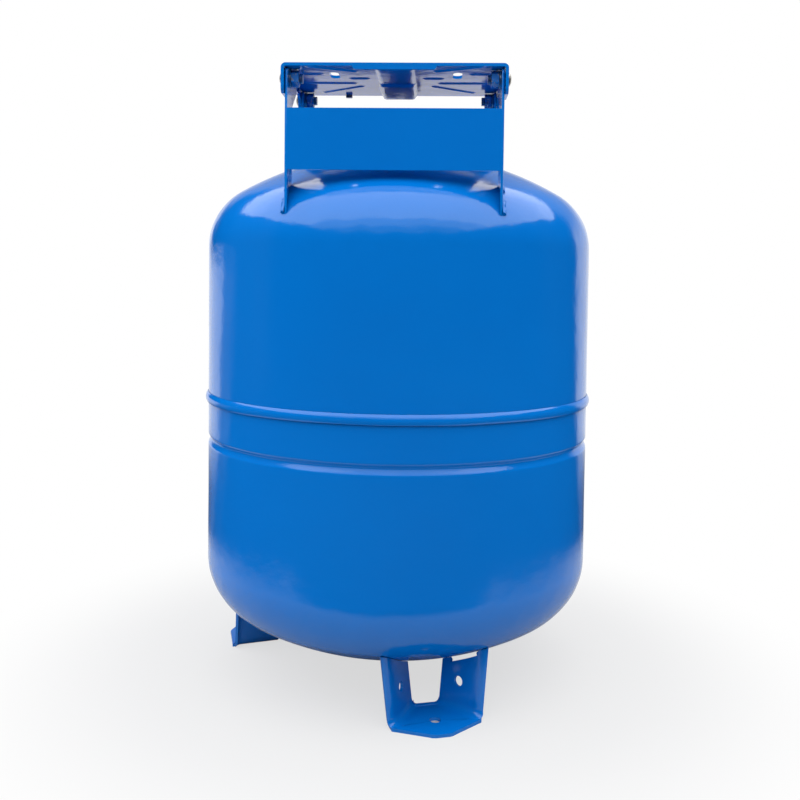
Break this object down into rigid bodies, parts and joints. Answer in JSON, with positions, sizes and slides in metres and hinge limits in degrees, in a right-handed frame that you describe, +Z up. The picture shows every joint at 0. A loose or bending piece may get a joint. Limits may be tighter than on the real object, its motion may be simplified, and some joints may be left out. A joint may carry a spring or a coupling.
{
  "type": "gas tank",
  "caption": "Upright welded steel gas tank on pressed feet, with a bolted stand over its top dome and a hidden hand valve with relief valve and float stop.",
  "frame": {"origin": "on the floor at the vessel's axis", "axes": "+Z up along the vessel's axis, -Y towards the stand's front plate"},
  "size_m": [0.3852, 0.3852, 0.5681],
  "materials": {
    "blue_paint": "gloss",
    "zinc_plate": "satin",
    "brass": "satin",
    "rubber": "matt",
    "black_paint": "satin",
    "bare_steel": "matt",
    "float_plastic": "matt"
  },
  "bodies": {
    "tank": {"upper_shell": "blue_paint", "lower_shell": "blue_paint", "girth_weld": "blue_paint", "valve_boss": "blue_paint", "boss_weld": "blue_paint", "foot_front": "blue_paint", "foot_left": "blue_paint", "foot_right": "blue_paint", "foot_welds": "blue_paint", "front_bracket": "blue_paint", "rear_bracket": "blue_paint", "bracket_welds": "blue_paint", "platform": "blue_paint", "front_bolts": "zinc_plate", "front_washers": "zinc_plate", "front_nuts": "zinc_plate", "rear_bolts": "zinc_plate", "rear_washers": "zinc_plate", "rear_nuts": "zinc_plate", "relief_spring": "zinc_plate", "float_bracket": "zinc_plate", "float_pin": "zinc_plate", "valve_body": "brass", "valve_bonnet": "brass", "relief_cap": "brass", "dip_tube": "brass", "stem_seal": "rubber", "rear_tab": "bare_steel"},
    "wheel": {"handwheel": "black_paint", "handwheel_screw": "zinc_plate", "spindle": "brass"},
    "plug": {"seat_plug": "brass", "seat_disc": "rubber"},
    "relief": {"relief_poppet": "brass"},
    "bleed": {"bleed_screw": "brass"},
    "float": {"float_arm": "zinc_plate", "float_body": "float_plastic"}
  },
  "joints": [
    {"name": "handwheel_turn", "type": "hinge", "parent": "tank", "child": "wheel", "pos_m": [0, 0, 0.53837], "axis": [0, 0, 1], "range_deg": [0, 720]},
    {"name": "plug_rise", "type": "slide", "parent": "tank", "child": "plug", "axis": [0, 0, 1], "range_m": [0, 0.003]},
    {"name": "relief_lift", "type": "slide", "parent": "tank", "child": "relief", "axis": [0, 0, 1], "range_m": [0, 0.0015], "stiffness_N_per_m": 400, "springref_m": -0.002, "deforming": ["relief_spring"]},
    {"name": "bleed_turn", "type": "hinge", "parent": "tank", "child": "bleed", "pos_m": [-0.019, 0, 0.53137], "axis": [-1, 0, 0], "range_deg": [0, 360]},
    {"name": "float_swing", "type": "hinge", "parent": "tank", "child": "float", "pos_m": [0, 0.004, 0.48307], "axis": [1, 0, 0], "range_deg": [0, 50]}
  ],
  "couplings": [
    {"joint": "plug_rise", "follows": "handwheel_turn", "m_per_rad": 0.00023873}
  ]
}
